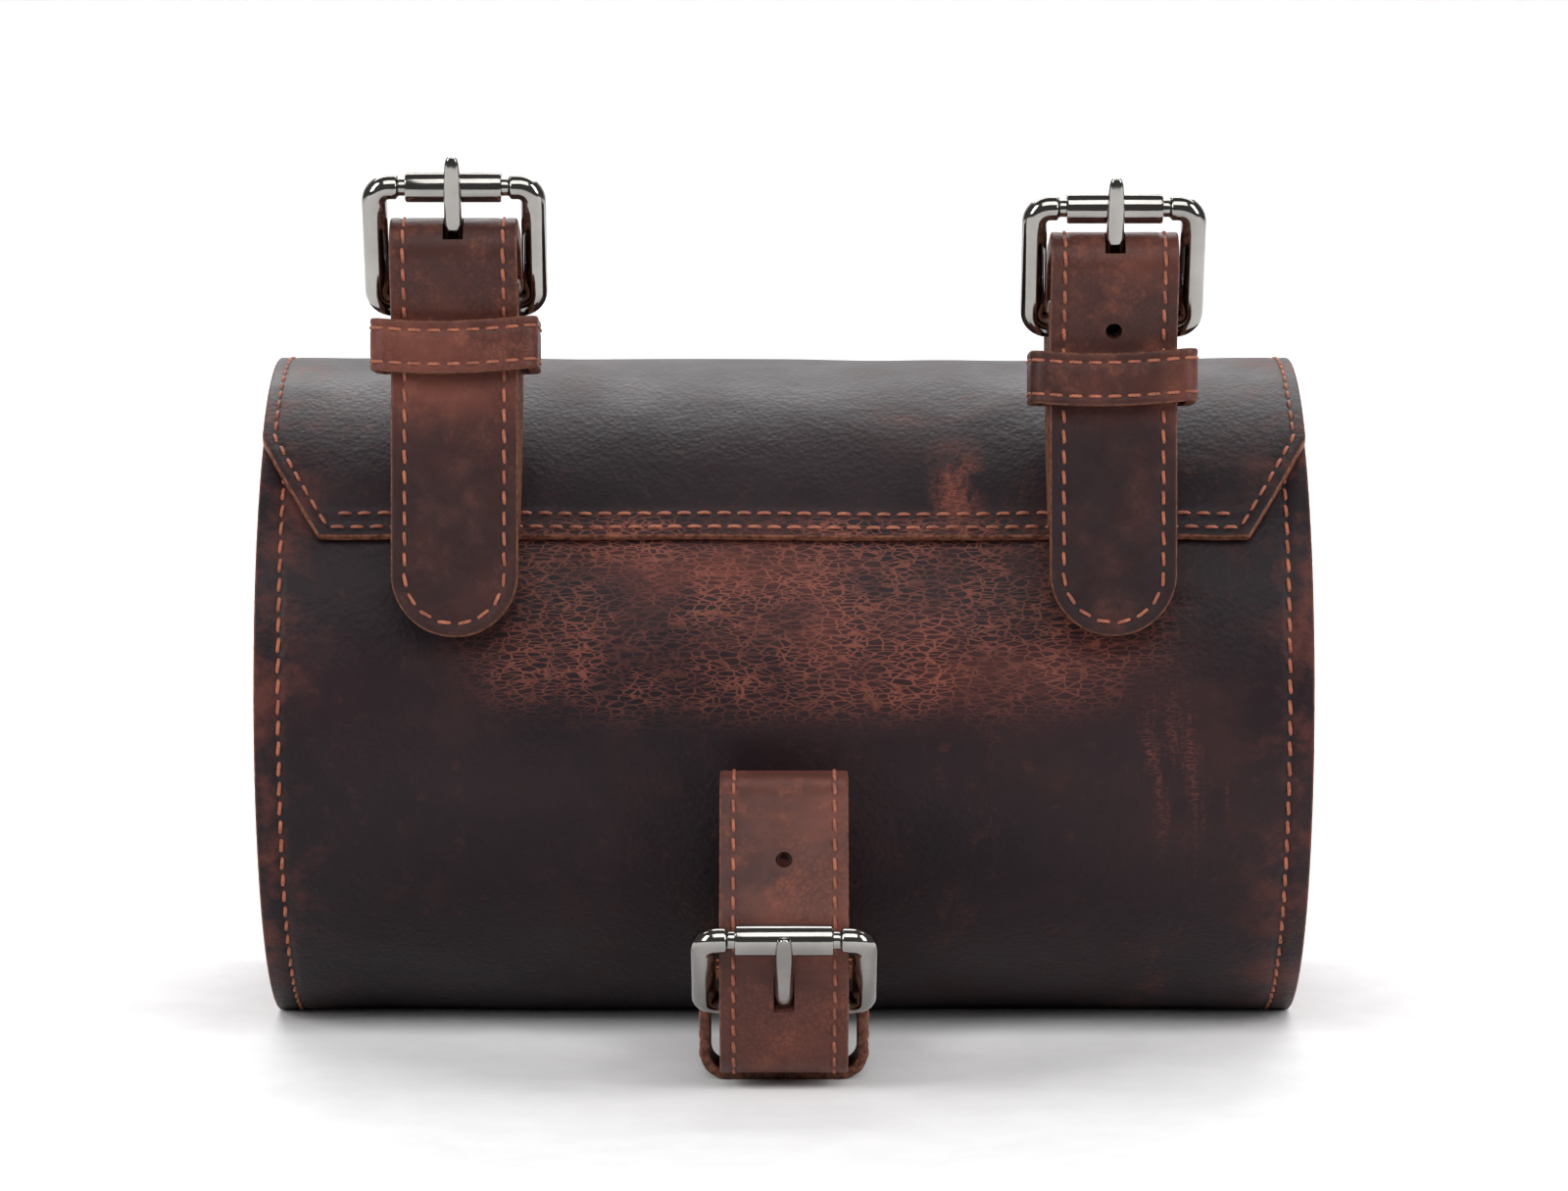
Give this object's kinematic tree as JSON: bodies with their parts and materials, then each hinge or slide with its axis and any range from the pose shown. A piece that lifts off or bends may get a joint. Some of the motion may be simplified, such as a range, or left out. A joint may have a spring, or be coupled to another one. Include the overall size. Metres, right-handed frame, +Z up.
{
  "type": "saddle bag",
  "caption": "Barrel-shaped leather bicycle bag with a fold-over flap, buckled saddle straps and a buckled seat post strap.",
  "frame": {"origin": "on the ground, under the middle of the barrel, at the centre of the flat strip that it stands on", "axes": "+X along the barrel to the right seen from the straps' side, -Y to the front with the straps, +Z up"},
  "size_m": [0.21, 0.1932, 0.1805],
  "materials": {
    "bag_leather": "waxed dark brown pull-up leather",
    "strap_leather": "waxed red-brown pull-up leather",
    "leather_edge": "raw cut leather edge and flesh side",
    "thread": "waxed russet thread",
    "nickel": "polished nickel plate"
  },
  "bodies": {
    "bag": {"body_shell": "bag_leather", "end_panel_left": "bag_leather", "end_panel_right": "bag_leather", "flap_front_band": "bag_leather", "snap_studs": "nickel", "snap_rivets": "nickel", "saddle_strap_left_tongue_face": "strap_leather", "saddle_strap_left_tongue_lining": "strap_leather", "saddle_strap_left_buckle_strap": "strap_leather", "saddle_strap_right_tongue_face": "strap_leather", "saddle_strap_right_tongue_lining": "strap_leather", "saddle_strap_right_buckle_strap": "strap_leather", "post_strap_tongue_face": "strap_leather", "post_strap_tongue_lining": "strap_leather", "post_strap_buckle_strap": "strap_leather"},
    "flap": {"flap_cover": "bag_leather", "snap_caps": "nickel", "snap_sockets": "nickel"},
    "saddle_strap_left_buckle_frame": {"saddle_strap_left_buckle_frame": "nickel"},
    "saddle_strap_left_buckle_roller": {"saddle_strap_left_buckle_roller": "nickel"},
    "saddle_strap_left_buckle_prong": {"saddle_strap_left_buckle_prong": "nickel"},
    "saddle_strap_left_keeper": {"saddle_strap_left_keeper": "strap_leather"},
    "saddle_strap_right_buckle_frame": {"saddle_strap_right_buckle_frame": "nickel"},
    "saddle_strap_right_buckle_roller": {"saddle_strap_right_buckle_roller": "nickel"},
    "saddle_strap_right_buckle_prong": {"saddle_strap_right_buckle_prong": "nickel"},
    "saddle_strap_right_keeper": {"saddle_strap_right_keeper": "strap_leather"},
    "post_strap_buckle_frame": {"post_strap_buckle_frame": "nickel"},
    "post_strap_buckle_roller": {"post_strap_buckle_roller": "nickel"},
    "post_strap_buckle_prong": {"post_strap_buckle_prong": "nickel"},
    "post_strap_keeper": {"post_strap_keeper": "strap_leather"}
  },
  "joints": [
    {"name": "flap_open", "type": "hinge", "parent": "bag", "child": "flap", "pos_m": [0, -0.02145, 0.13054], "axis": [1, 0, 0], "range_deg": [0, 90]},
    {"name": "saddle_strap_left_buckle_tilt", "type": "hinge", "parent": "bag", "child": "saddle_strap_left_buckle_frame", "pos_m": [0, -0.0517, 0.15014], "axis": [1, 0, 0], "range_deg": [0, 3]},
    {"name": "saddle_strap_left_prong_lift", "type": "hinge", "parent": "saddle_strap_left_buckle_frame", "child": "saddle_strap_left_buckle_prong", "pos_m": [0, -0.0517, 0.15014], "axis": [1, 0, 0], "range_deg": [0, 3]},
    {"name": "saddle_strap_left_roller_spin", "type": "hinge", "parent": "saddle_strap_left_buckle_frame", "child": "saddle_strap_left_buckle_roller", "pos_m": [0, -0.05984, 0.17378], "axis": [1, 0, 0], "continuous": true},
    {"name": "saddle_strap_left_keeper_slide", "type": "slide", "parent": "bag", "child": "saddle_strap_left_keeper", "axis": [0, 0.1564, 0.9877], "range_m": [-0.007, 0]},
    {"name": "saddle_strap_right_buckle_tilt", "type": "hinge", "parent": "bag", "child": "saddle_strap_right_buckle_frame", "pos_m": [0, -0.0524, 0.14604], "axis": [1, 0, 0], "range_deg": [0, 3]},
    {"name": "saddle_strap_right_prong_lift", "type": "hinge", "parent": "saddle_strap_right_buckle_frame", "child": "saddle_strap_right_buckle_prong", "pos_m": [0, -0.0524, 0.14604], "axis": [1, 0, 0], "range_deg": [0, 3]},
    {"name": "saddle_strap_right_roller_spin", "type": "hinge", "parent": "saddle_strap_right_buckle_frame", "child": "saddle_strap_right_buckle_roller", "pos_m": [0, -0.06054, 0.16967], "axis": [1, 0, 0], "continuous": true},
    {"name": "saddle_strap_right_keeper_slide", "type": "slide", "parent": "bag", "child": "saddle_strap_right_keeper", "axis": [0, 0.1564, 0.9877], "range_m": [-0.007, 0]},
    {"name": "post_strap_buckle_tilt", "type": "hinge", "parent": "bag", "child": "post_strap_buckle_frame", "pos_m": [0, -0.0905, 0.0172], "axis": [1, 0, 0], "range_deg": [0, 3]},
    {"name": "post_strap_prong_lift", "type": "hinge", "parent": "post_strap_buckle_frame", "child": "post_strap_buckle_prong", "pos_m": [0, -0.0905, 0.0172], "axis": [1, 0, 0], "range_deg": [0, 3]},
    {"name": "post_strap_roller_spin", "type": "hinge", "parent": "post_strap_buckle_frame", "child": "post_strap_buckle_roller", "pos_m": [0, -0.10957, 0.03337], "axis": [1, 0, 0], "continuous": true},
    {"name": "post_strap_keeper_slide", "type": "slide", "parent": "bag", "child": "post_strap_keeper", "axis": [0, 1, 0], "range_m": [0, 0.008]}
  ]
}
